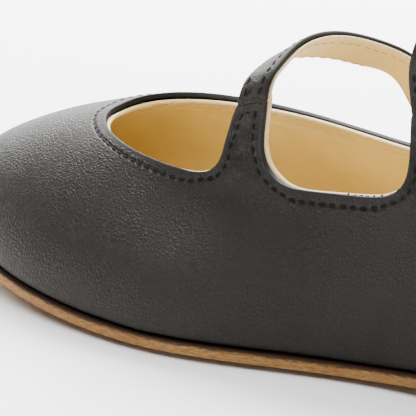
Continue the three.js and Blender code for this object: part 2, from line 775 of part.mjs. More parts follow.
// The outer skin of a strap as a surface of quads, with the holes left out.
function strapSkin(strap, buckle) {
  const { curve, tilts } = strapLine(strap, buckle);
  curve.arcLengthDivisions = 400;
  const total = curve.getLength();
  const bar = buckle.localToWorld(new THREE.Vector3(0, strapTail[barPoint][0], frameBar.z));
  const barAt = nearestDistance(curve, total, bar);
  const slot = [barAt - slotLength, barAt - slotLength / 2, barAt + slotBelow];
  const holes = [-3, -2, 1].map((step) => barAt + step * holePitch);
  const rows = strapRows(total, holes, slot);
  const points = [];
  for (const distance of rows) {
    const t = curve.getUtoTmapping(0, distance);
    const place = t * (tilts.length - 1);
    const before = Math.min(Math.floor(place), tilts.length - 2);
    const tilt = mix(tilts[before], tilts[before + 1], place - before);
    const along = curve.getTangent(t);
    const across = new THREE.Vector3(Math.cos(tilt), 0, Math.sin(tilt));
    const squareness = Math.min(1, distance / strapWidth);
    across.addScaledVector(along, -across.dot(along) * squareness).normalize();
    const beyond = Math.max(0, 1 - (total - distance) / (strapWidth / 2));
    const narrowing = Math.sqrt(1 - 0.94 * beyond * beyond);
    for (const offset of strapHalves) {
      points.push(curve.getPoint(t).addScaledVector(across, offset * narrowing));
    }
  }
  const quads = [];
  for (let i = 0; i + 1 < rows.length; i += 1) {
    const middle = (rows[i] + rows[i + 1]) / 2;
    const inHole = holes.some((at) => Math.abs(middle - at) < strapHole / 2);
    const inSlot = middle > slot[0] && middle < slot.at(-1);
    for (let j = 0; j < 3; j += 1) {
      if (j === 1 && (inHole || inSlot)) continue;
      quads.push([i * 4 + j, i * 4 + j + 1, i * 4 + j + 5, i * 4 + j + 4]);
    }
  }
  return { points, quads, normals: quadNormals(points, quads) };
}

function nearestDistance(curve, total, target) {
  const steps = 400;
  let best = 0;
  for (let i = 0; i <= steps; i += 1) {
    const gapHere = curve.getPointAt(i / steps).distanceTo(target);
    if (gapHere < curve.getPointAt(best / steps).distanceTo(target)) best = i;
  }
  return (best / steps) * total;
}

// ---------------------------------------------------------------- buckles

// Extrudes an outline drawn in (y, z) along x, centred on x = 0.
function sideExtrusion(shape, width) {
  const options = { depth: width, bevelEnabled: false, curveSegments: 5 };
  const geometry = new THREE.ExtrudeGeometry(shape, options);
  const turn = new THREE.Matrix4().makeBasis(
    new THREE.Vector3(0, 1, 0), new THREE.Vector3(0, 0, 1), new THREE.Vector3(1, 0, 0));
  return geometry.applyMatrix4(turn).translate(-width / 2, 0, 0);
}

function roundHole(y, z, radius) {
  return new THREE.Path().absarc(y, z, radius, 0, 2 * Math.PI, true);
}

// A flat rectangular loop standing on its pivot bar, which lies on the x axis.
function loopGeometry(innerWidth, pitch) {
  const corner = 1.2;
  const halfOuter = innerWidth / 2 + barSize;
  const low = -barSize / 2;
  const high = pitch + barSize / 2;
  const shape = new THREE.Shape();
  shape.moveTo(-halfOuter + corner / 2, low);
  shape.lineTo(halfOuter - corner / 2, low);
  shape.lineTo(halfOuter, low + corner / 2);
  shape.lineTo(halfOuter, high - corner);
  shape.lineTo(halfOuter - corner, high);
  shape.lineTo(-halfOuter + corner, high);
  shape.lineTo(-halfOuter, high - corner);
  shape.lineTo(-halfOuter, low + corner / 2);
  shape.closePath();
  const inside = new THREE.Path();
  inside.moveTo(-innerWidth / 2, barSize / 2);
  inside.lineTo(-innerWidth / 2, pitch - barSize / 2);
  inside.lineTo(innerWidth / 2, pitch - barSize / 2);
  inside.lineTo(innerWidth / 2, barSize / 2);
  inside.closePath();
  shape.holes.push(inside);
  const geometry = new THREE.ExtrudeGeometry(shape, { depth: barSize, bevelEnabled: false });
  return geometry.translate(0, 0, -barSize / 2).rotateX(Math.PI / 2);
}

// The leather tab sewn to the wall, with an eye for the ring at its top.
function tabGeometry(buckle) {
  const clearance = 0.7;
  const thickness = 1.7;
  const inner = wallReach(buckle, -tabDepth) + clearance;
  const reach = eyeRadius + eyeWall - 0.3;
  const shape = new THREE.Shape();
  shape.moveTo(inner, -tabDepth);
  shape.lineTo(inner + thickness, -tabDepth);
  shape.absarc(ringPivot.y, ringPivot.z, reach, 0, Math.PI, false);
  shape.closePath();
  shape.holes.push(roundHole(ringPivot.y, ringPivot.z, eyeRadius - 0.1));
  return sideExtrusion(shape, tabWidth);
}

// A hook: an eye on the pivot bar, a plate down outside the ring and a shallow lip below the ring's bar.
function hookGeometry() {
  const radius = eyeRadius + eyeWall;
  const outer = -0.1;
  const inner = outer - hookThickness;
  const bottom = -7.9;
  const lip = 0.45;
  const shape = new THREE.Shape();
  const from = -Math.acos(outer / radius);
  const to = 2 * Math.PI - Math.acos(inner / radius);
  shape.absarc(0, 0, radius, from, to, false);
  shape.lineTo(inner, bottom + hookThickness);
  shape.lineTo(inner - lip, bottom + hookThickness);
  shape.lineTo(inner - lip, bottom);
  shape.lineTo(outer, bottom);
  shape.closePath();
  shape.holes.push(roundHole(0, 0, eyeRadius));
  const notch = new THREE.BoxGeometry(tongueWidth + 2 * gap, 6, 5).translate(0, 0, 0);
  return cutWith(sideExtrusion(shape, hookWidth), [notch]);
}

// The tongue: an eye on the pivot bar and a pin that rests on the outside of the far bar.
function tongueGeometry() {
  const radius = eyeRadius + eyeWall;
  const rootInner = 0.3;
  const pin = 1;
  const tipInner = frameLean + barSize / 2 + 0.5;
  const tip = framePitch + 1;
  const shape = new THREE.Shape();
  const from = Math.acos(rootInner / radius);
  const to = 2 * Math.PI + Math.acos((rootInner + pin) / radius);
  shape.absarc(0, 0, radius, from, to, false);
  shape.lineTo(tipInner + pin, tip);
  shape.lineTo(tipInner, tip);
  shape.closePath();
  shape.holes.push(roundHole(0, 0, eyeRadius));
  return sideExtrusion(shape, tongueWidth);
}

function addStrap(strap) {
  const { name } = strap;
  const buckle = buckleGroup(strap);
  const skinOfStrap = strapSkin(strap, buckle);
  const liningOuter = strapThickness + gap;
  const liningInner = liningOuter + strapLiningThickness;
  const all = () => true;
  addPart(`${name}_strap`, shell(skinOfStrap, all, flat(0), flat(strapThickness)), blackLeather());
  addPart(`${name}_strap_lining`, shell(skinOfStrap, all, flat(liningOuter), flat(liningInner)),
    liningLeather());
  addPart(`${name}_ring_tab`, tabGeometry(buckle), blackLeather(), buckle);
  const ring = addPart(`${name}_ring`, loopGeometry(tabWidth + 1, ringPitch), nickel(), buckle);
  ring.position.set(0, ringPivot.y, ringPivot.z);
  const frame = addPart(`${name}_buckle_frame`, loopGeometry(strapWidth + 2, framePitch), nickel(), buckle);
  frame.rotation.x = -Math.atan2(frameLean, framePitch);
  const tongue = addPart(`${name}_buckle_tongue`, tongueGeometry(), nickel(), buckle);
  const hook = addPart(`${name}_buckle_hook`, hookGeometry(), nickel(), buckle);
  for (const piece of [frame, tongue, hook]) piece.position.set(0, frameBar.y, frameBar.z);
}

addUpper();
addSole();
addHeel();
addStrap(frontStrap);
addStrap(rearStrap);

// The origin is the middle of the overall box, on the floor.
const box = new THREE.Box3().setFromObject(shoe, true);
const middle = box.getCenter(new THREE.Vector3());
shoe.position.set(-middle.x, -middle.y, -box.min.z);

export default shoe;
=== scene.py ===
import json
import math

import bpy
import numpy as np
from mathutils import Matrix, Vector
from mathutils.bvhtree import BVHTree
from mathutils.kdtree import KDTree


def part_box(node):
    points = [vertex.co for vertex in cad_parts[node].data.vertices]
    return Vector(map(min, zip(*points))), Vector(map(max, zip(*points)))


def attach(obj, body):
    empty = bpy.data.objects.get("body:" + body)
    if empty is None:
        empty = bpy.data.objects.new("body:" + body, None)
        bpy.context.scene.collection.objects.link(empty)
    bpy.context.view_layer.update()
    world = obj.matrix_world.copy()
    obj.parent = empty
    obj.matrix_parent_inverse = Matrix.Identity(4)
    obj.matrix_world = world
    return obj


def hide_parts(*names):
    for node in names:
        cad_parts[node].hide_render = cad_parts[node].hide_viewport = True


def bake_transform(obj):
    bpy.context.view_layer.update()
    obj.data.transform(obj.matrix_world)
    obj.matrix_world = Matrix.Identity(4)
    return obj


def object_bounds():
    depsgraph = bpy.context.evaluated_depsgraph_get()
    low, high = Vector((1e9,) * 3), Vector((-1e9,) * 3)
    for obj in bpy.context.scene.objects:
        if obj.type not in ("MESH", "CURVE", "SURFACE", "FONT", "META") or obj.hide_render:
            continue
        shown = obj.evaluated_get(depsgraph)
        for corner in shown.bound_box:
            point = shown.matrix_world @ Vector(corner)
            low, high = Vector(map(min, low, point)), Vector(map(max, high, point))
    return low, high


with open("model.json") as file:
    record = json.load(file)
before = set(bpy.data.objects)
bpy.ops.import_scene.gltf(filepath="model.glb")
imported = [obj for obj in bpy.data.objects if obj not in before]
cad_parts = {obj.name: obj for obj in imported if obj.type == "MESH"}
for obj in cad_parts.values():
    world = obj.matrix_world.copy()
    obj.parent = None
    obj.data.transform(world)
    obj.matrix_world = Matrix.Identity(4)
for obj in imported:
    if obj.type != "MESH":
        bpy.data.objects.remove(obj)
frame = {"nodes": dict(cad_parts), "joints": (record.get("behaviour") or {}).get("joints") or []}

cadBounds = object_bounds()
mm = 0.001
joints = {joint["name"]: joint for joint in frame["joints"]}
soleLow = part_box("outsole")[0]
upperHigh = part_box("upper")[1]
shoeMiddle = (cadBounds[0] + cadBounds[1]) / 2


cameraSettings = {
    "azimuth": 37.04,
    "elevation": 17.41,
    "distance": 0.5,
    "lens": 183.9,
    "aim": (0.07288, 0.0422, 0.0204),  # from the toe end and the medial edge of the sole, and above the floor
}


def addCamera(settings):
    data = bpy.data.cameras.new("camera")
    data.lens = settings["lens"]
    data.sensor_width = 36
    data.clip_start = 0.01
    camera = bpy.data.objects.new("camera", data)
    bpy.context.scene.collection.objects.link(camera)
    azimuth = math.radians(settings["azimuth"])
    elevation = math.radians(settings["elevation"])
    back = Vector((
        math.sin(azimuth) * math.cos(elevation),
        -math.cos(azimuth) * math.cos(elevation),
        math.sin(elevation),
    ))
    right = Vector((math.cos(azimuth), math.sin(azimuth), 0))
    up = back.cross(right)
    aim = Vector((soleLow.x, soleLow.y, 0)) + Vector(settings["aim"])
    place = aim + back * settings["distance"]
    rows = [[right[i], up[i], back[i], place[i]] for i in range(3)]
    camera.matrix_world = Matrix(rows + [[0, 0, 0, 1]])
    bpy.context.scene.camera = camera


def addAreaLight(name, settings):
    data = bpy.data.lights.new(name, "AREA")
    data.shape = "RECTANGLE"
    data.size, data.size_y = settings["size"]
    data.energy = settings["power"]
    light = bpy.data.objects.new(name, data)
    bpy.context.scene.collection.objects.link(light)
    place = Vector(settings["place"])
    turn = (Vector(settings["target"]) - place).to_track_quat("-Z", "Y")
    light.matrix_world = Matrix.Translation(place) @ turn.to_matrix().to_4x4()


studio = {
    "floorColour": (0.93, 0.93, 0.93, 1),
    "floorSize": 12,
    "skyStrength": 0.2,
}
lamps = {
    "overheadLight": {"place": (0, -0.25, 0.95), "target": (0, 0, 0.03), "size": (1.3, 1.1), "power": 22},
    "keyLight": {"place": (-0.2, 0.6, 0.75), "target": (0, 0, 0.03), "size": (0.9, 0.7), "power": 60},
    "rimLight": {"place": (-0.75, 0.55, 0.3), "target": (-0.06, 0, 0.03), "size": (0.6, 0.5), "power": 9},
    "fillLight": {"place": (0.35, -0.8, 0.12), "target": (0, 0, 0.02), "size": (0.9, 0.25), "power": 0.35},
}


def addStudio(settings):
    world = bpy.data.worlds.new("studio")
    world.use_nodes = True
    world.node_tree.nodes["Background"].inputs["Color"].default_value = (1, 1, 1, 1)
    world.node_tree.nodes["Background"].inputs["Strength"].default_value = settings["skyStrength"]
    bpy.context.scene.world = world
    bpy.ops.mesh.primitive_plane_add(size=settings["floorSize"], location=(0, 0, 0))
    floor = bpy.context.object
    floor.name = "floor"
    material = bpy.data.materials.new("paleFloor")
    material.use_nodes = True
    shader = material.node_tree.nodes["Principled BSDF"]
    shader.inputs["Base Color"].default_value = settings["floorColour"]
    shader.inputs["Roughness"].default_value = 0.8
    shader.inputs["Specular IOR Level"].default_value = 0.2
    floor.data.materials.append(material)
    for name, lamp in lamps.items():
        addAreaLight(name, lamp)


for thing in bpy.context.selected_objects:
    thing.select_set(False)
addCamera(cameraSettings)
addStudio(studio)
print("camera, floor and light are in place")


def addNode(tree, kind, values=None, **settings):
    node = tree.nodes.new(kind)
    for key, value in settings.items():
        setattr(node, key, value)
    for key, value in (values or {}).items():
        if hasattr(value, "is_output"):
            tree.links.new(value, node.inputs[key])
        else:
            node.inputs[key].default_value = value
    return node


def addMath(tree, operation, first, second=0.0, third=0.0):
    values = {0: first, 1: second, 2: third}
    return addNode(tree, "ShaderNodeMath", values, operation=operation).outputs[0]


def addRange(tree, value, low, high, toLow=0.0, toHigh=1.0, smooth=False):
    kind = "SMOOTHSTEP" if smooth else "LINEAR"
    values = {"Value": value, "From Min": low, "From Max": high, "To Min": toLow, "To Max": toHigh}
    return addNode(tree, "ShaderNodeMapRange", values, interpolation_type=kind).outputs[0]


def addMix(tree, factor, first, second):
    node = addNode(tree, "ShaderNodeMix", data_type="RGBA")
    for key, value in (("Factor_Float", factor), ("A_Color", first), ("B_Color", second)):
        socket = next(each for each in node.inputs if each.identifier == key)
        if hasattr(value, "is_output"):
            tree.links.new(value, socket)
        else:
            socket.default_value = value
    return next(each for each in node.outputs if each.identifier == "Result_Color")


def newGroup(name, inputs, outputs):
    tree = bpy.data.node_groups.new(name, "ShaderNodeTree")
    for title, kind, value in inputs:
        socket = tree.interface.new_socket(name=title, in_out="INPUT", socket_type=kind)
        if value is not None:
            socket.default_value = value
    for title, kind in outputs:
        tree.interface.new_socket(name=title, in_out="OUTPUT", socket_type=kind)
    return tree, tree.nodes.new("NodeGroupInput"), tree.nodes.new("NodeGroupOutput")


grainShape = {
    "warpScale": 420.0,
    "fineRatio": 2.7,  # how much smaller the pores are than the pebbles
    "creaseWidth": 0.34,
    "poreWidth": 0.3,
    "patchScale": 130.0,
    "shallowest": 0.45,
}


def buildGrain(shape):  # pebbled leather: cells with narrow creases between them, and fine pores
    tree, start, end = newGroup("leatherGrain", [
        ("Vector", "NodeSocketVector", None),
        ("Cells", "NodeSocketFloat", 1000.0),
        ("Warp", "NodeSocketFloat", 0.0004),
        ("Pores", "NodeSocketFloat", 0.2),
    ], [("Height", "NodeSocketFloat"), ("Crease", "NodeSocketFloat")])
    warp = addNode(tree, "ShaderNodeTexNoise", {
        "Vector": start.outputs["Vector"], "Scale": shape["warpScale"], "Detail": 2.0}).outputs["Color"]
    centred = addNode(tree, "ShaderNodeVectorMath", {0: warp, 1: (0.5, 0.5, 0.5)}, operation="SUBTRACT")
    moved = addNode(tree, "ShaderNodeVectorMath", {
        0: centred.outputs[0], "Scale": start.outputs["Warp"]}, operation="SCALE")
    place = addNode(tree, "ShaderNodeVectorMath", {
        0: start.outputs["Vector"], 1: moved.outputs[0]}, operation="ADD").outputs[0]
    cells = addNode(tree, "ShaderNodeTexVoronoi", {
        "Vector": place, "Scale": start.outputs["Cells"]}, feature="DISTANCE_TO_EDGE").outputs["Distance"]
    fineScale = addMath(tree, "MULTIPLY", start.outputs["Cells"], shape["fineRatio"])
    fine = addNode(tree, "ShaderNodeTexVoronoi", {
        "Vector": place, "Scale": fineScale}, feature="DISTANCE_TO_EDGE").outputs["Distance"]
    pebble = addRange(tree, cells, 0.0, shape["creaseWidth"], smooth=True)
    small = addRange(tree, fine, 0.0, shape["poreWidth"], smooth=True)
    patch = addNode(tree, "ShaderNodeTexNoise", {
        "Vector": start.outputs["Vector"], "Scale": shape["patchScale"], "Detail": 3.0}).outputs["Fac"]
    depth = addRange(tree, patch, 0.35, 0.65, shape["shallowest"], 1.0)
    soft = addMath(tree, "MULTIPLY", pebble, depth)
    pores = addMath(tree, "MULTIPLY", small, start.outputs["Pores"])
    tree.links.new(addMath(tree, "ADD", soft, pores), end.inputs["Height"])
    tree.links.new(addMath(tree, "SUBTRACT", 1.0, pebble), end.inputs["Crease"])
    return tree


driftShape = {"speckScale": 1500.0, "speckStart": 0.66, "speckFull": 0.78}


def buildDrift(shape):  # slow changes of tone from handling and dyeing
    tree, start, end = newGroup("toneDrift", [
        ("Vector", "NodeSocketVector", None),
        ("Scale", "NodeSocketFloat", 30.0),
    ], [("Slow", "NodeSocketFloat"), ("Specks", "NodeSocketFloat")])
    slow = addNode(tree, "ShaderNodeTexNoise", {
        "Vector": start.outputs["Vector"], "Scale": start.outputs["Scale"], "Detail": 4.0}).outputs["Fac"]
    tree.links.new(addRange(tree, slow, 0.3, 0.7), end.inputs["Slow"])
    specks = addNode(tree, "ShaderNodeTexNoise", {
        "Vector": start.outputs["Vector"], "Scale": shape["speckScale"], "Detail": 2.0}).outputs["Fac"]
    tree.links.new(addRange(tree, specks, shape["speckStart"], shape["speckFull"]), end.inputs["Specks"])
    return tree


fibreShape = {"fuzzScale": 2600.0, "fuzzShare": 0.6, "streakLow": 0.32, "streakHigh": 0.68}


def buildFibres(shape):  # the felted cut edge of thick leather, with streaks along the layers
    tree, start, end = newGroup("cutFibres", [
        ("Vector", "NodeSocketVector", None),
        ("Stretch", "NodeSocketVector", (1.0, 1.0, 5.0)),
        ("Scale", "NodeSocketFloat", 700.0),
    ], [("Height", "NodeSocketFloat"), ("Streaks", "NodeSocketFloat")])
    long = addNode(tree, "ShaderNodeVectorMath", {
        0: start.outputs["Vector"], 1: start.outputs["Stretch"]}, operation="MULTIPLY").outputs[0]
    streaks = addNode(tree, "ShaderNodeTexNoise", {
        "Vector": long, "Scale": start.outputs["Scale"], "Detail": 5.0, "Roughness": 0.7}).outputs["Fac"]
    fuzz = addNode(tree, "ShaderNodeTexNoise", {
        "Vector": start.outputs["Vector"], "Scale": shape["fuzzScale"],
        "Detail": 4.0, "Roughness": 0.8}).outputs["Fac"]
    share = addMath(tree, "MULTIPLY", fuzz, shape["fuzzShare"])
    tree.links.new(addMath(tree, "ADD", streaks, share), end.inputs["Height"])
    tree.links.new(addRange(tree, streaks, shape["streakLow"], shape["streakHigh"]), end.inputs["Streaks"])
    return tree


brushedShape = {"lineScale": 400.0, "markScale": 160.0, "markStart": 0.4, "markFull": 0.7}


def buildBrushed(shape):  # fine lines and small scratches in metal
    tree, start, end = newGroup("brushedMetal", [
        ("Vector", "NodeSocketVector", None),
        ("Stretch", "NodeSocketVector", (1.0, 12.0, 12.0)),
    ], [("Lines", "NodeSocketFloat"), ("Marks", "NodeSocketFloat")])
    long = addNode(tree, "ShaderNodeVectorMath", {
        0: start.outputs["Vector"], 1: start.outputs["Stretch"]}, operation="MULTIPLY").outputs[0]
    lines = addNode(tree, "ShaderNodeTexNoise", {
        "Vector": long, "Scale": shape["lineScale"], "Detail": 4.0}).outputs["Fac"]
    marks = addNode(tree, "ShaderNodeTexNoise", {
        "Vector": start.outputs["Vector"], "Scale": shape["markScale"],
        "Detail": 5.0, "Roughness": 0.7}).outputs["Fac"]
    tree.links.new(lines, end.inputs["Lines"])
    tree.links.new(addRange(tree, marks, shape["markStart"], shape["markFull"]), end.inputs["Marks"])
    return tree


grain = buildGrain(grainShape)
drift = buildDrift(driftShape)
fibres = buildFibres(fibreShape)
brushed = buildBrushed(brushedShape)
print("node groups are built")


def startMaterial(name, settings):
    material = bpy.data.materials.new(name)
    material.use_nodes = True
    tree = material.node_tree
    shader = tree.nodes["Principled BSDF"]
    for key, value in settings.items():
        shader.inputs[key].default_value = value
    place = addNode(tree, "ShaderNodeTexCoord").outputs["Object"]
    return material, tree, shader, place


def addGroup(tree, group, values):
    return addNode(tree, "ShaderNodeGroup", values, node_tree=group)


def addBump(tree, shader, height, distance, strength=1.0, below=None):
    values = {"Height": height, "Distance": distance, "Strength": strength}
    if below is not None:
        values["Normal"] = below
    normal = addNode(tree, "ShaderNodeBump", values).outputs["Normal"]
    tree.links.new(normal, shader.inputs["Normal"])
    return normal


def readAttribute(tree, name):
    return addNode(tree, "ShaderNodeAttribute", attribute_name=name).outputs["Fac"]


def addPuckers(tree, shader, below, settings):  # the groove and the dimples that a row of stitches pulls
    rim = readAttribute(tree, "rimDistance")
    phase = readAttribute(tree, "stitchPhase")
    away = addMath(tree, "ABSOLUTE", addMath(tree, "SUBTRACT", rim, settings["inset"]))
    groove = addRange(tree, away, 0.0, settings["grooveWidth"], 1.0, 0.0, smooth=True)
    wave = addMath(tree, "COSINE", addMath(tree, "MULTIPLY", phase, 2 * math.pi))
    dimple = addRange(tree, wave, -1.0, 1.0, 0.35, 1.0)
    height = addMath(tree, "MULTIPLY", addMath(tree, "MULTIPLY", groove, dimple), -1.0)
    return addBump(tree, shader, height, settings["grooveDepth"], 1.0, below)


blackLeatherLooks = {
    "dark": (0.0045, 0.004, 0.0036, 1),
    "light": (0.0095, 0.0083, 0.0074, 1),
    "worn": (0.03, 0.027, 0.024, 1),
    "cells": 1050.0,
    "warp": 0.0006,
    "pores": 0.3,
    "grainDepth": 0.00013,
    "driftScale": 38.0,
    "wornShare": 0.35,
    "roughness": (0.41, 0.5),
    "creaseRoughness": 0.14,
    "edgeWidth": 0.9,  # millimetres from the rim
    "edgeShade": 0.5,
    "wrinkleScale": 330.0,
    "wrinkleWidth": 0.16,
    "wrinkleDepth": 0.0008,
    "polish": 0.2,  # how much smoother the creased roots of the straps are
}
topRow = {"inset": 1.65, "grooveWidth": 0.8, "grooveDepth": 0.0005}
strapRow = {"inset": 1.35, "grooveWidth": 0.8, "grooveDepth": 0.0003}
liningRow = {"inset": 2.5, "grooveWidth": 1.2, "grooveDepth": 0.0002}


def blackLeather(name, looks, row=None):
    material, tree, shader, place = startMaterial(name, {
        "Roughness": 0.44, "Specular IOR Level": 0.24, "Specular Tint": (1.0, 0.93, 0.84, 1)})
    pebble = addGroup(tree, grain, {
        "Vector": place, "Cells": looks["cells"], "Warp": looks["warp"], "Pores": looks["pores"]})
    tone = addGroup(tree, drift, {"Vector": place, "Scale": looks["driftScale"]})
    colour = addMix(tree, tone.outputs["Slow"], looks["dark"], looks["light"])
    lift = addMath(tree, "MULTIPLY", tone.outputs["Specks"], looks["wornShare"])
    colour = addMix(tree, lift, colour, looks["worn"])
    roughness = addRange(tree, tone.outputs["Slow"], 0.0, 1.0, *looks["roughness"])
    creased = addMath(tree, "MULTIPLY", pebble.outputs["Crease"], looks["creaseRoughness"])
    roughness = addMath(tree, "ADD", roughness, creased)
    normal = addBump(tree, shader, pebble.outputs["Height"], looks["grainDepth"])
    if row:
        normal = addPuckers(tree, shader, normal, row)
        rim = readAttribute(tree, "rimDistance")
        edge = addRange(tree, rim, 0.0, looks["edgeWidth"], looks["edgeShade"], 0.0, smooth=True)
        colour = addMix(tree, edge, colour, looks["dark"])
        flex = readAttribute(tree, "flex")
        warped = addNode(tree, "ShaderNodeTexNoise", {
            "Vector": place, "Scale": looks["wrinkleScale"], "Detail": 5.0, "Roughness": 0.65,
            "Distortion": 1.4}).outputs["Fac"]
        ridged = addMath(tree, "ABSOLUTE", addMath(tree, "SUBTRACT", warped, 0.5))
        wrinkle = addMath(tree, "MULTIPLY", addRange(tree, ridged, 0.0, looks["wrinkleWidth"]), flex)
        addBump(tree, shader, wrinkle, looks["wrinkleDepth"], 0.8, normal)
        polished = addMath(tree, "MULTIPLY", flex, looks["polish"])
        roughness = addMath(tree, "SUBTRACT", roughness, polished)
    tree.links.new(colour, shader.inputs["Base Color"])
    tree.links.new(roughness, shader.inputs["Roughness"])
    return material


liningLooks = {
    "dark": (0.55, 0.40, 0.14, 1),
    "light": (0.72, 0.56, 0.23, 1),
    "edge": (0.80, 0.66, 0.42, 1),
    "edgeDark": (0.62, 0.45, 0.24, 1),
    "cells": 1500.0,
    "warp": 0.0003,
    "pores": 0.4,
    "grainDepth": 0.00003,
    "driftScale": 45.0,
    "markShare": 0.3,
    "roughness": (0.56, 0.68),
}


def liningLeather(name, looks, row=None):
    material, tree, shader, place = startMaterial(name, {
        "Roughness": 0.62, "Specular IOR Level": 0.35, "Sheen Weight": 0.12, "Sheen Roughness": 0.5})
    pebble = addGroup(tree, grain, {
        "Vector": place, "Cells": looks["cells"], "Warp": looks["warp"], "Pores": looks["pores"]})
    tone = addGroup(tree, drift, {"Vector": place, "Scale": looks["driftScale"]})
    colour = addMix(tree, tone.outputs["Slow"], looks["dark"], looks["light"])
    marks = addMath(tree, "MULTIPLY", tone.outputs["Specks"], looks["markShare"])
    colour = addMix(tree, marks, colour, looks["edgeDark"])
    normal = addBump(tree, shader, pebble.outputs["Height"], looks["grainDepth"])
    if row:
        addPuckers(tree, shader, normal, row)
    roughness = addRange(tree, tone.outputs["Slow"], 0.0, 1.0, *looks["roughness"])
    tree.links.new(colour, shader.inputs["Base Color"])
    tree.links.new(roughness, shader.inputs["Roughness"])
    return material


def cutEdge(name, dark, light, roughness=0.85):
    material, tree, shader, place = startMaterial(name, {"Roughness": roughness, "Specular IOR Level": 0.2})
    felt = addGroup(tree, fibres, {"Vector": place, "Stretch": (1.0, 1.0, 2.0), "Scale": 900.0})
    colour = addMix(tree, felt.outputs["Streaks"], dark, light)
    tree.links.new(colour, shader.inputs["Base Color"])
    addBump(tree, shader, felt.outputs["Height"], 0.00005)
    return material


soleLooks = {
    "dark": (0.18, 0.078, 0.02, 1),
    "light": (0.52, 0.28, 0.095, 1),
    "topBandColour": (0.035, 0.015, 0.006, 1),
    "topDarkBand": (0.25, 0.9),  # millimetres below the top face where the dark line ends
    "streakScale": 520.0,
    "driftScale": 60.0,
    "driftShare": 0.35,
    "wander": 0.5,
    "roughness": (0.62, 0.85),
    "depth": 0.0006,
}


def soleLeather(name, looks):
    material, tree, shader, place = startMaterial(name, {"Roughness": 0.75, "Specular IOR Level": 0.25})
    felt = addGroup(tree, fibres, {"Vector": place, "Stretch": (1.0, 1.0, 5.0), "Scale": looks["streakScale"]})
    tone = addGroup(tree, drift, {"Vector": place, "Scale": looks["driftScale"]})
    colour = addMix(tree, felt.outputs["Streaks"], looks["dark"], looks["light"])
    slow = addMath(tree, "MULTIPLY", tone.outputs["Slow"], looks["driftShare"])
    colour = addMix(tree, slow, colour, looks["dark"])
    # the edge colour is darker in a band just below the top face, and the band's lower end wanders with the
    # streaks
    top = readAttribute(tree, "topDistance")
    wander = addMath(tree, "MULTIPLY", addMath(tree, "SUBTRACT", felt.outputs["Streaks"], 0.5), looks["wander"])
    topDarkBand = addRange(tree, addMath(tree, "ADD", top, wander), *looks["topDarkBand"], 1.0, 0.0)
    colour = addMix(tree, topDarkBand, colour, looks["topBandColour"])
    tree.links.new(colour, shader.inputs["Base Color"])
    roughness = addRange(tree, felt.outputs["Streaks"], 0.0, 1.0, *looks["roughness"])
    tree.links.new(roughness, shader.inputs["Roughness"])
    addBump(tree, shader, felt.outputs["Height"], looks["depth"])
    return material


def thread(name, colour, light):
    material, tree, shader, place = startMaterial(name, {"Roughness": 0.75, "Specular IOR Level": 0.12})
    twist = addNode(tree, "ShaderNodeTexWave", {
        "Vector": place, "Scale": 900.0, "Distortion": 2.0, "Detail": 2.0}, bands_direction="DIAGONAL")
    tree.links.new(addMix(tree, twist.outputs["Fac"], colour, light), shader.inputs["Base Color"])
    addBump(tree, shader, twist.outputs["Fac"], 0.0001)
    return material


def plainStock(name, dark, light, roughness, scale, depth, metallic=0.0):
    material, tree, shader, place = startMaterial(name, {"Roughness": roughness, "Metallic": metallic})
    felt = addGroup(tree, fibres, {"Vector": place, "Stretch": (1.0, 1.0, 1.0), "Scale": scale})
    tree.links.new(addMix(tree, felt.outputs["Streaks"], dark, light), shader.inputs["Base Color"])
    spread = addRange(tree, felt.outputs["Streaks"], 0.0, 1.0, roughness - 0.08, roughness + 0.08)
    tree.links.new(spread, shader.inputs["Roughness"])
    addBump(tree, shader, felt.outputs["Height"], depth)
    return material


metalLooks = {
    "aluminium": {"dark": (0.5, 0.5, 0.5, 1), "light": (0.78, 0.78, 0.79, 1), "stretch": (1.0, 12.0, 1.0)},
    "nickel": {"dark": (0.55, 0.54, 0.52, 1), "light": (0.8, 0.79, 0.77, 1), "stretch": (6.0, 6.0, 6.0)},
    "steel": {"dark": (0.2, 0.21, 0.23, 1), "light": (0.42, 0.44, 0.47, 1), "stretch": (1.0, 14.0, 1.0)},
}


def metal(name, looks, roughness, depth):
    material, tree, shader, place = startMaterial(name, {"Metallic": 1.0, "Roughness": roughness})
    lines = addGroup(tree, brushed, {"Vector": place, "Stretch": looks["stretch"]})
    colour = addMix(tree, lines.outputs["Marks"], looks["light"], looks["dark"])
    tree.links.new(colour, shader.inputs["Base Color"])
    spread = addRange(tree, lines.outputs["Marks"], 0.0, 1.0, roughness - 0.06, roughness + 0.14)
    tree.links.new(spread, shader.inputs["Roughness"])
    addBump(tree, shader, lines.outputs["Lines"], depth)
    return material


rubberLooks = {
    "dark": (0.012, 0.012, 0.012, 1),
    "light": (0.03, 0.029, 0.028, 1),
    "ribScale": 170.0,
    "ribDepth": 0.0004,
    "driftScale": 80.0,
    "roughness": (0.72, 0.88),
}


def ribbedRubber(name, looks):
    material, tree, shader, place = startMaterial(name, {"Roughness": 0.8, "Specular IOR Level": 0.3})
    ribs = addNode(tree, "ShaderNodeTexWave", {
        "Vector": place, "Scale": looks["ribScale"]}, bands_direction="X", wave_profile="SAW")
    tone = addGroup(tree, drift, {"Vector": place, "Scale": looks["driftScale"]})
    colour = addMix(tree, tone.outputs["Slow"], looks["dark"], looks["light"])
    tree.links.new(colour, shader.inputs["Base Color"])
    spread = addRange(tree, tone.outputs["Slow"], 0.0, 1.0, *looks["roughness"])
    tree.links.new(spread, shader.inputs["Roughness"])
    addBump(tree, shader, ribs.outputs["Fac"], looks["ribDepth"])
    return material


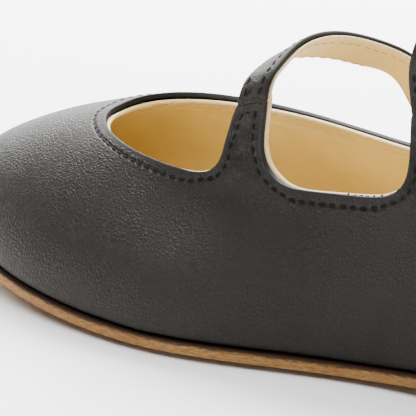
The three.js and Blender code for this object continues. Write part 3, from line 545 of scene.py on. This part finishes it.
finishes = {
    "upper": blackLeather("upperLeather", blackLeatherLooks, topRow),
    "strap": blackLeather("strapLeather", blackLeatherLooks, strapRow),
    "trim": blackLeather("trimLeather", blackLeatherLooks),
    "blackEdge": cutEdge("dyedEdge", (0.006, 0.0055, 0.005, 1), (0.014, 0.012, 0.011, 1), 0.6),
    "lining": liningLeather("liningLeather", liningLooks, liningRow),
    "sock": liningLeather("sockLeather", liningLooks),
    "creamEdge": cutEdge("creamEdge", liningLooks["edgeDark"], liningLooks["edge"]),
    "blackThread": thread("blackThread", (0.002, 0.002, 0.002, 1), (0.006, 0.0055, 0.005, 1)),
    "tanThread": thread("tanThread", (0.45, 0.30, 0.13, 1), (0.68, 0.50, 0.27, 1)),
    "aluminium": metal("tapAluminium", metalLooks["aluminium"], 0.34, 0.00002),
    "nickel": metal("nickelPlate", metalLooks["nickel"], 0.16, 0.000005),
    "steel": metal("springSteel", metalLooks["steel"], 0.38, 0.00002),
    "board": plainStock("fibreBoard", (0.17, 0.10, 0.05, 1), (0.33, 0.22, 0.12, 1), 0.85, 500.0, 0.0001),
    "cork": plainStock("corkFiller", (0.20, 0.10, 0.04, 1), (0.46, 0.29, 0.14, 1), 0.88, 260.0, 0.0003),
    "felt": plainStock("stiffenerFelt", (0.48, 0.43, 0.33, 1), (0.72, 0.67, 0.56, 1), 0.86, 900.0, 0.0002),
    "rubber": ribbedRubber("padRubber", rubberLooks),
}
print("materials are built")


meshCare = {
    "merge": 0.01,
    "faceAngle": 60,
    "shapeAngle": 70,
    "rimAngle": 55,
    "rimWidth": 1.25,  # of the shell's thickness
    "sharpAngle": 50,
}


def editMode(piece, kind="FACE"):
    for thing in bpy.context.selected_objects:
        thing.select_set(False)
    piece.select_set(True)
    bpy.context.view_layer.objects.active = piece
    bpy.ops.object.mode_set(mode="EDIT")
    bpy.ops.mesh.select_mode(type=kind)
    bpy.ops.mesh.select_all(action="DESELECT")


def objectMode():
    bpy.ops.object.mode_set(mode="OBJECT")


def copyNode(node, name):  # a loose copy of a CAD node, its points merged and its triangles paired
    source = frame["nodes"][node]
    piece = bpy.data.objects.new(name, source.data.copy())
    bpy.context.scene.collection.objects.link(piece)
    piece.data.materials.clear()
    editMode(piece, "VERT")
    bpy.ops.mesh.select_all(action="SELECT")
    bpy.ops.mesh.customdata_custom_splitnormals_clear()
    bpy.ops.mesh.remove_doubles(threshold=meshCare["merge"] * mm)
    bpy.ops.mesh.tris_convert_to_quads(face_threshold=math.radians(meshCare["faceAngle"]),
                                       shape_threshold=math.radians(meshCare["shapeAngle"]))
    objectMode()
    return piece


def facesByEdge(mesh):
    found = {}
    for face in mesh.polygons:
        for key in face.edge_keys:
            found.setdefault(key, []).append(face)
    return found


def markRim(piece, thickness):  # faces of a shell that join its two sides become slot 1
    mesh = piece.data
    neighbours = facesByEdge(mesh)
    limit = math.radians(meshCare["rimAngle"])
    for face in mesh.polygons:
        sharp = 0
        for key in face.edge_keys:
            pair = neighbours[key]
            if len(pair) == 2 and pair[0].normal.angle(pair[1].normal, 0) > limit:
                sharp += 1
        sides = [(mesh.vertices[a].co - mesh.vertices[b].co).length for a, b in face.edge_keys]
        face.material_index = int(sharp >= 2 and min(sides) < thickness * meshCare["rimWidth"] * mm)


def selectSharp(piece, degrees):
    editMode(piece, "EDGE")
    bpy.ops.mesh.edges_select_sharp(sharpness=math.radians(degrees))


def applyModifier(piece, name, kind, **settings):
    modifier = piece.modifiers.new(name, kind)
    for key, value in settings.items():
        setattr(modifier, key, value)
    bpy.context.view_layer.objects.active = piece
    bpy.ops.object.modifier_apply(modifier=modifier.name)


def softenEdges(piece, width, segments=2, degrees=meshCare["sharpAngle"], slot=-1):
    selectSharp(piece, degrees)
    bpy.ops.mesh.bevel(offset=width * mm, segments=segments, affect="EDGES", clamp_overlap=True,
                       material=slot, offset_type="OFFSET")
    objectMode()


def subdivide(piece, levels):
    applyModifier(piece, "smooth", "SUBSURF", levels=levels, render_levels=levels, boundary_smooth="ALL")


def shadeSmooth(piece, degrees=None):
    for thing in bpy.context.selected_objects:
        thing.select_set(False)
    piece.select_set(True)
    bpy.context.view_layer.objects.active = piece
    if degrees:
        bpy.ops.object.shade_smooth_by_angle(angle=math.radians(degrees))
    else:
        bpy.ops.object.shade_smooth()


def finishPiece(piece, body, materials, nodes):
    for material in materials:
        piece.data.materials.append(finishes[material])
    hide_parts(*nodes)
    if body:
        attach(piece, body)


seamSteps = {
    "shortest": 8,  # points that a rim line has at least
    "rim": 0.5,
    "rimTree": 0.4,
    "line": 0.25,
    "smoothing": 6,
    "clearance": 0.9,  # share of the inset that a point keeps from the rim
    "farthest": 12,
}


def rimLoops(piece):  # closed lines where the rim meets a side, the longest first
    mesh = piece.data
    neighbours = facesByEdge(mesh)
    links = {}
    for (a, b), pair in neighbours.items():
        if len(pair) == 2 and pair[0].material_index != pair[1].material_index:
            side = pair[0] if pair[0].material_index == 0 else pair[1]
            links.setdefault(a, []).append((b, side))
            links.setdefault(b, []).append((a, side))
    loops = []
    while links:
        current = next(iter(links))
        loop, sides = [], []
        while current is not None:
            loop.append(current)
            onward = [option for option in links.pop(current) if option[0] in links]
            current = onward[0][0] if onward else None
            if onward:
                sides.append(onward[0][1])
        if len(loop) < seamSteps["shortest"]:
            continue
        points = [mesh.vertices[vertex].co.copy() for vertex in loop]
        count = len(points)
        inwards = []
        outwardness = 0
        for i, point in enumerate(points):
            along = (points[(i + 1) % count] - points[i - 1]).normalized()
            side = sides[min(i, len(sides) - 1)]
            inward = side.center - point
            inward = (inward - along * inward.dot(along)).normalized()
            inwards.append(inward)
            centre = Vector((point.x, shoeMiddle.y, 0.03))
            outwardness += side.normal.dot(point - centre)
        length = sum((points[i] - points[i - 1]).length for i in range(count))
        loops.append({"points": points, "inwards": inwards, "outer": outwardness > 0, "length": length})
    return sorted(loops, key=lambda loop: -loop["length"])


def resample(points, step):  # even steps round a closed line
    points = np.array([list(point) for point in points])
    closed = np.vstack([points, points[:1]])
    spans = np.linalg.norm(np.diff(closed, axis=0), axis=1)
    at = np.concatenate([[0], np.cumsum(spans)])
    count = max(3, round(at[-1] / step))
    wanted = np.linspace(0, at[-1], count, endpoint=False)
    return np.stack([np.interp(wanted, at, closed[:, k]) for k in range(3)], axis=1)


def surfaceOf(piece):
    mesh = piece.data
    points = [vertex.co for vertex in mesh.vertices]
    return BVHTree.FromPolygons(points, [list(face.vertices) for face in mesh.polygons])


def seamLine(piece, loop, inset, startAt):  # a closed line on the piece, at an even distance from its rim
    surface = surfaceOf(piece)
    rim = resample(loop["points"], seamSteps["rim"] * mm)
    moved = []
    for point, inward in zip(loop["points"], loop["inwards"]):
        near = surface.find_nearest(point + inward * inset * mm)[0]
        if np.linalg.norm(rim - np.array(near), axis=1).min() > inset * mm * seamSteps["clearance"]:
            moved.append(near)
    line = resample(moved, seamSteps["line"] * mm)
    for _ in range(seamSteps["smoothing"]):
        line = (np.roll(line, 1, axis=0) + 2 * line + np.roll(line, -1, axis=0)) / 4
    start = int(np.argmin(np.linalg.norm(line - np.array(startAt), axis=1)))
    return resample(np.roll(line, -start, axis=0), seamSteps["line"] * mm)


def stitchShape(settings):
    half = settings["length"] / 2 * mm
    bpy.ops.mesh.primitive_uv_sphere_add(segments=8, ring_count=6, radius=1, location=(0, 0, 0))
    shape = bpy.context.object
    editMode(shape, "VERT")
    bpy.ops.mesh.select_all(action="SELECT")
    bpy.ops.transform.rotate(value=math.radians(90), orient_axis="Y", center_override=(0, 0, 0))
    bpy.ops.transform.resize(value=(half, settings["width"] / 2 * mm, settings["height"] / 2 * mm))
    objectMode()
    for vertex in shape.data.vertices:  # blunt the ends, as thread goes down into its holes
        vertex.co.x = math.copysign(abs(vertex.co.x / half) ** 0.8, vertex.co.x) * half
    for face in shape.data.polygons:
        face.use_smooth = True
    shape.name = "stitchShape"
    return shape


seamGap = 6  # a row leaves out the stitches this near to a strap's seam and in line with it
strapSeams = [
    (Vector(joints[name + "_strap_swing"]["pos_m"]), Vector(joints[name + "_strap_swing"]["axis"]))
    for name in ("front", "rear")
]


def stitchRow(name, piece, line, pitch, settings, material):
    surface = surfaceOf(piece)
    count = len(line)
    total = sum(np.linalg.norm(line[i] - line[i - 1]) for i in range(count))
    stitches = max(1, round(total / (pitch * mm)))
    vertices, faces = [], []
    shape = stitchShape(settings)
    for k in range(stitches):
        i = int(k * count / stitches) % count
        ahead, behind = line[(i + 2) % count], line[i - 2]
        spot, normal, _, _ = surface.find_nearest(Vector(line[i]))
        along = Vector(ahead - behind)
        along = (along - normal * along.dot(normal)).normalized()
        if any((spot - seam).length < seamGap * mm and abs(along.dot(axis)) > 0.7 for seam, axis in strapSeams):
            continue
        across = normal.cross(along)
        turn = Matrix((along, across, normal)).transposed().to_4x4()
        matrix = Matrix.Translation(spot + normal * settings["proud"] * mm) @ turn
        start = len(vertices)
        vertices += [matrix @ vertex.co for vertex in shape.data.vertices]
        faces += [[start + corner for corner in face.vertices] for face in shape.data.polygons]
    mesh = bpy.data.meshes.new(name)
    mesh.from_pydata(vertices, [], faces)
    for face in mesh.polygons:
        face.use_smooth = True
    row = bpy.data.objects.new(name, mesh)
    bpy.context.scene.collection.objects.link(row)
    mesh.materials.append(finishes[material])
    bpy.data.objects.remove(shape)
    return row, stitches


def writeAttribute(piece, name, values):
    attribute = piece.data.attributes.new(name, "FLOAT", "POINT")
    attribute.data.foreach_set("value", np.array(values, np.float32))


def writeSeam(piece, loops, lines, stitches):  # distance to the rim and place along the stitching
    rimTree = KDTree(sum(len(resample(loop["points"], seamSteps["rimTree"] * mm)) for loop in loops))
    index = 0
    for loop in loops:
        for point in resample(loop["points"], seamSteps["rimTree"] * mm):
            rimTree.insert(point, index)
            index += 1
    rimTree.balance()
    lineTree = KDTree(sum(len(line) for line in lines))
    phases = []
    for line, count in zip(lines, stitches):
        for k, point in enumerate(line):
            lineTree.insert(point, len(phases))
            phases.append(k * count / len(line))
    lineTree.balance()
    distance, phase = [], []
    for vertex in piece.data.vertices:
        distance.append(min(rimTree.find(vertex.co)[2] / mm, seamSteps["farthest"]))
        phase.append(phases[lineTree.find(vertex.co)[1]])
    writeAttribute(piece, "rimDistance", distance)
    writeAttribute(piece, "stitchPhase", phase)


def writeFlex(piece, spots):
    values = []
    for vertex in piece.data.vertices:
        flex = 0
        for spot, reach, strength in spots:
            flex = max(flex, strength * math.exp(-((vertex.co - spot).length / (reach * mm)) ** 2))
        values.append(flex)
    writeAttribute(piece, "flex", values)


upperShape = {
    "thickness": 1.2,
    "fatten": 0.1,
    "edge": 0.28,
    "liningEdge": 0.2,
    "sharpAngle": 55,
    "levels": 2,
    "waves": 0.25,  # depth of the soft unevenness of the leather
    "waveSize": 0.022,
    "pitch": 2.6,
    "liningFatten": 0.28,
    "liningThickness": 0.9,
}
topStitch = {"length": 1.75, "width": 0.5, "height": 0.5, "proud": -0.03}
strapStitch = {"length": 1.75, "width": 0.48, "height": 0.45, "proud": -0.03}
liningStitch = {"length": 1.9, "width": 0.5, "height": 0.4, "proud": 0.0}

stubRoots = [
    (Vector(joints[name + "_strap_swing"]["pos_m"]) - Vector((0.002, 0, 0.012)), 7.5, 1.0)
    for name in ("front", "rear")
]
lateralEnd = Vector((0.02, upperHigh.y, 0.04))


def toplineLoops(piece, outer):  # the highest of the long loops on one side of a shell
    loops = [loop for loop in rimLoops(piece) if loop["outer"] == outer and loop["length"] > 0.3]
    return [max(loops, key=lambda loop: sum(point.z for point in loop["points"]) / len(loop["points"]))]


def addUpper(settings):
    upper = copyNode("upper", "upperBody")
    markRim(upper, settings["thickness"])
    softenEdges(upper, settings["edge"], 1, settings["sharpAngle"], 1)
    editMode(upper)
    bpy.ops.mesh.select_all(action="SELECT")
    bpy.ops.transform.shrink_fatten(value=settings["fatten"] * mm)
    objectMode()
    subdivide(upper, settings["levels"])
    cloud = bpy.data.textures.new("leatherWaves", "CLOUDS")
    cloud.noise_scale = settings["waveSize"]
    loops = toplineLoops(upper, True)
    applyModifier(upper, "waves", "DISPLACE", texture=cloud, strength=settings["waves"] * mm,
                  mid_level=0.5, texture_coords="LOCAL")
    line = seamLine(upper, loops[0], topRow["inset"], lateralEnd)
    row, count = stitchRow("topline_stitches", upper, line, settings["pitch"], topStitch,
                           "blackThread")
    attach(row, "shoe")
    writeSeam(upper, loops, [line], [count])
    writeFlex(upper, stubRoots)
    shadeSmooth(upper)
    finishPiece(upper, "shoe", ["upper", "blackEdge"], ["upper"])


def addLining(settings):
    lining = copyNode("upper_lining", "lining")
    markRim(lining, settings["liningThickness"])
    softenEdges(lining, settings["liningEdge"], 1, settings["sharpAngle"], 1)
    editMode(lining)
    bpy.ops.mesh.select_all(action="SELECT")
    bpy.ops.transform.shrink_fatten(value=settings["liningFatten"] * mm)
    objectMode()
    subdivide(lining, settings["levels"])
    loops = toplineLoops(lining, False)
    line = seamLine(lining, loops[0], liningRow["inset"], lateralEnd)
    row, count = stitchRow("lining_stitches", lining, line, settings["pitch"], liningStitch,
                           "tanThread")
    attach(row, "shoe")
    writeSeam(lining, loops, [line], [count])
    shadeSmooth(lining)
    finishPiece(lining, "shoe", ["lining", "creamEdge"], ["upper_lining"])


addUpper(upperShape)
addLining(upperShape)
print("upper and lining are made")


def addSimple(node, name, body, material, edge, levels=2, segments=2, smoothAngle=None,
              stretch=None, shift=None):
    piece = copyNode(node, name)
    if shift:
        editMode(piece)
        bpy.ops.mesh.select_all(action="SELECT")
        bpy.ops.transform.translate(value=shift)
        objectMode()
    if stretch:
        low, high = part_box(node)
        editMode(piece)
        bpy.ops.mesh.select_all(action="SELECT")
        bpy.ops.transform.resize(value=(stretch[0], stretch[1], 1), center_override=(low + high) / 2)
        objectMode()
    softenEdges(piece, edge, segments)
    if levels:
        subdivide(piece, levels)
    shadeSmooth(piece, smoothAngle)
    finishPiece(piece, body, [material], [node])


stripSunk = 0.7  # the back strip lies this far into the rounded heel of the upper
addSimple("back_strip", "backStrip", "shoe", "trim", 0.3, shift=(-stripSunk * mm, 0, 0))


soleShape = {
    "edge": 0.35,
    "liftEdge": 0.3,
    "sockStretch": (1.01, 1.055),  # widens the sock lining towards the wall
}


def addSoleLayer(node, name, edge, material):
    finishes[material] = soleLeather(material, soleLooks)
    piece = copyNode(node, name)
    softenEdges(piece, edge)
    subdivide(piece, 2)
    mesh = piece.data
    tops = [vertex.co for vertex in mesh.vertices if vertex.normal.z > 0.9]
    flat = KDTree(len(tops))
    for index, point in enumerate(tops):
        flat.insert((point.x, point.y, 0), index)
    flat.balance()
    below = [tops[flat.find((vertex.co.x, vertex.co.y, 0))[1]].z - vertex.co.z for vertex in mesh.vertices]
    writeAttribute(piece, "topDistance", [max(0, value) / mm for value in below])
    shadeSmooth(piece, 60)
    finishPiece(piece, "shoe", [material], [node])


addSoleLayer("outsole", "outsoleLayer", soleShape["edge"], "outsoleLeather")
addSoleLayer("heel_lift_upper", "heelLiftUpper", soleShape["liftEdge"], "upperLiftLeather")
addSoleLayer("heel_lift_lower", "heelLiftLower", soleShape["liftEdge"], "lowerLiftLeather")
addSimple("sock_lining", "sockLining", "shoe", "sock", 0.4,
          stretch=soleShape["sockStretch"])
addSimple("ball_pad", "ballPad", "shoe", "rubber", 0.3)
addSimple("toe_tap", "toeTap", "shoe", "aluminium", 0.4, levels=1, smoothAngle=40)
addSimple("heel_tap", "heelTap", "shoe", "aluminium", 0.4, levels=1, smoothAngle=40)
addSimple("toe_tap_board", "toeTapBoard", "shoe", "board", 0.15, levels=1, segments=1,
          smoothAngle=40)
addSimple("heel_tap_board", "heelTapBoard", "shoe", "board", 0.15, levels=1, segments=1,
          smoothAngle=40)

screwShape = {
    "head": 1.4,
    "shank": 0.46,  # share of the head's width
    "tip": 0.1,
    "tipLength": 1,
    "slotWidth": 0.55,
    "slotDepth": 0.5,
    "bevel": 0.18,
    "sides": 32,
}


def addScrew(node, name, settings):
    low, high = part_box(node)
    centre = (low + high) / 2
    middle = (centre.x, centre.y, 0)
    radius = (high.x - low.x) / 2
    head, tipLength = settings["head"] * mm, settings["tipLength"] * mm
    bpy.ops.object.select_all(action="DESELECT")
    bpy.ops.mesh.primitive_cylinder_add(vertices=settings["sides"], radius=radius, depth=head,
                                        location=(centre.x, centre.y, low.z + head / 2))
    screw = bpy.context.object
    screw.name = name
    bpy.ops.object.transform_apply(location=True, rotation=True, scale=True)
    editMode(screw)
    objectMode()
    max(screw.data.polygons, key=lambda face: face.center.z).select = True
    bpy.ops.object.mode_set(mode="EDIT")
    shank = high.z - low.z - head - tipLength
    bpy.ops.transform.resize(value=(settings["shank"], settings["shank"], 1), center_override=middle)
    bpy.ops.mesh.extrude_region_move(TRANSFORM_OT_translate={"value": (0, 0, shank)})
    bpy.ops.mesh.extrude_region_move(TRANSFORM_OT_translate={"value": (0, 0, tipLength)})
    bpy.ops.transform.resize(value=(settings["tip"], settings["tip"], 1), center_override=middle)
    objectMode()
    bpy.ops.object.select_all(action="DESELECT")
    bpy.ops.mesh.primitive_cube_add(size=1, location=(centre.x, centre.y, low.z))
    cutter = bpy.context.object
    cutter.scale = (radius * 3, settings["slotWidth"] * mm, settings["slotDepth"] * 2 * mm)
    cutter.rotation_euler = (0, 0, centre.y * 90)  # each slot ends at an angle of its own
    softenEdges(screw, settings["bevel"], 2, 60)
    applyModifier(screw, "slot", "BOOLEAN", operation="DIFFERENCE", object=cutter, solver="EXACT")
    bpy.data.objects.remove(cutter)
    shadeSmooth(screw, 35)
    finishPiece(screw, "shoe", ["nickel"], [node])


for tapName in ("toe", "heel"):
    for number in (1, 2, 3):
        addScrew(f"{tapName}_tap_screw_{number}", f"{tapName}Screw{number}", screwShape)
print("sole, heel and taps are made")


strapShape = {
    "root": 1.7,  # how far the strap runs on over its stub
    "rootReach": 7,
    "rootHeight": 3.2,
    "edge": 0.22,
    "fatten": 0.05,
    "pitch": 2.6,
    "bendLength": 10,
    "bendAlong": (0, 0.75, 0.66),  # up and over the foot
}
strapLayers = {
    "strap": {
        "name": "StrapOuter",
        "thickness": 1.0,
        "lap": 0.3,
        "finishes": ["strap", "blackEdge"],
        "slot": "black_leather",
        "stitch": strapStitch,
        "thread": "blackThread",
    },
    "strap_lining": {
        "name": "StrapLining",
        "thickness": 0.7,
        "lap": -0.3,
        "finishes": ["sock", "creamEdge"],
        "slot": "lining_leather",
        "stitch": liningStitch,
        "thread": "tanThread",
    },
}


def extendRoot(piece, hinge, layer, settings):  # the strap's end runs on over the stub that it is sewn to
    roots = [face for face in piece.data.polygons if face.material_index == 1
             and (face.center - hinge).length < settings["rootReach"] * mm and face.normal.z < -0.75
             and face.center.z < hinge.z + settings["rootHeight"] * mm]
    down = sum((face.normal for face in roots), Vector()).normalized()
    away = Vector((0, -1, 0)) * layer["lap"]
    indices = [face.index for face in roots]
    editMode(piece)
    objectMode()
    for index in indices:
        piece.data.polygons[index].select = True
    bpy.ops.object.mode_set(mode="EDIT")
    move = down * settings["root"] * mm + away * mm
    bpy.ops.mesh.extrude_region_move(TRANSFORM_OT_translate={"value": move})
    objectMode()


def addStrapLayer(strap, part, layer, settings):
    node, name = f"{strap}_{part}", strap + layer["name"]
    hinge = Vector(joints[strap + "_strap_swing"]["pos_m"])
    piece = copyNode(node, name)
    markRim(piece, layer["thickness"])
    extendRoot(piece, hinge, layer, settings)
    markRim(piece, layer["thickness"])
    softenEdges(piece, settings["edge"], 1, slot=1)
    editMode(piece)
    bpy.ops.mesh.select_all(action="SELECT")
    bpy.ops.transform.shrink_fatten(value=settings["fatten"] * mm)
    objectMode()
    subdivide(piece, 2)
    outer = layer["lap"] > 0
    loops = [loop for loop in rimLoops(piece) if loop["length"] > 0.05 and loop["outer"] == outer][:1]
    line = seamLine(piece, loops[0], strapRow["inset"], Vector((hinge.x, 0.05, 0.03)))
    stitches, count = stitchRow(name + "_stitches", piece, line, settings["pitch"], layer["stitch"],
                                layer["thread"])
    writeSeam(piece, loops, [line], [count])
    writeFlex(piece, [(hinge, 6, 0.5)])
    shadeSmooth(piece)
    finishPiece(piece, None, layer["finishes"], [node])
    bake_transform(piece)
    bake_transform(stitches)


buckleParts = {
    "ring": {"name": "RingWire", "body": "_ring", "edge": 0.4, "segments": 4},
    "buckle_frame": {"name": "FrameWire", "body": "_buckle_frame", "edge": 0.4, "segments": 4},
    "buckle_tongue": {"name": "TongueWire", "body": "_buckle_tongue", "edge": 0.25, "segments": 3},
    "buckle_hook": {"name": "HookPlate", "body": "_strap", "edge": 0.2, "segments": 3},
}

for strapName in ("front", "rear"):
    for part, layer in strapLayers.items():
        addStrapLayer(strapName, part, layer, strapShape)
    addSimple(strapName + "_ring_tab", strapName + "RingTab", "shoe", "trim", 0.3, levels=1)
    for part, shape in buckleParts.items():
        addSimple(f"{strapName}_{part}", strapName + shape["name"], strapName + shape["body"],
                  "nickel", shape["edge"], levels=0, segments=shape["segments"], smoothAngle=40)
print("straps and buckles are made")


hiddenFinishes = {
    "toe_puff": "felt",
    "heel_counter": "felt",
    "cork_filler": "cork",
    "shank": "steel",
    "insole_board": "board",
}
for hiddenNode, finish in hiddenFinishes.items():
    hidden = frame["nodes"][hiddenNode]
    hidden.data.materials.clear()
    hidden.data.materials.append(finishes[finish])
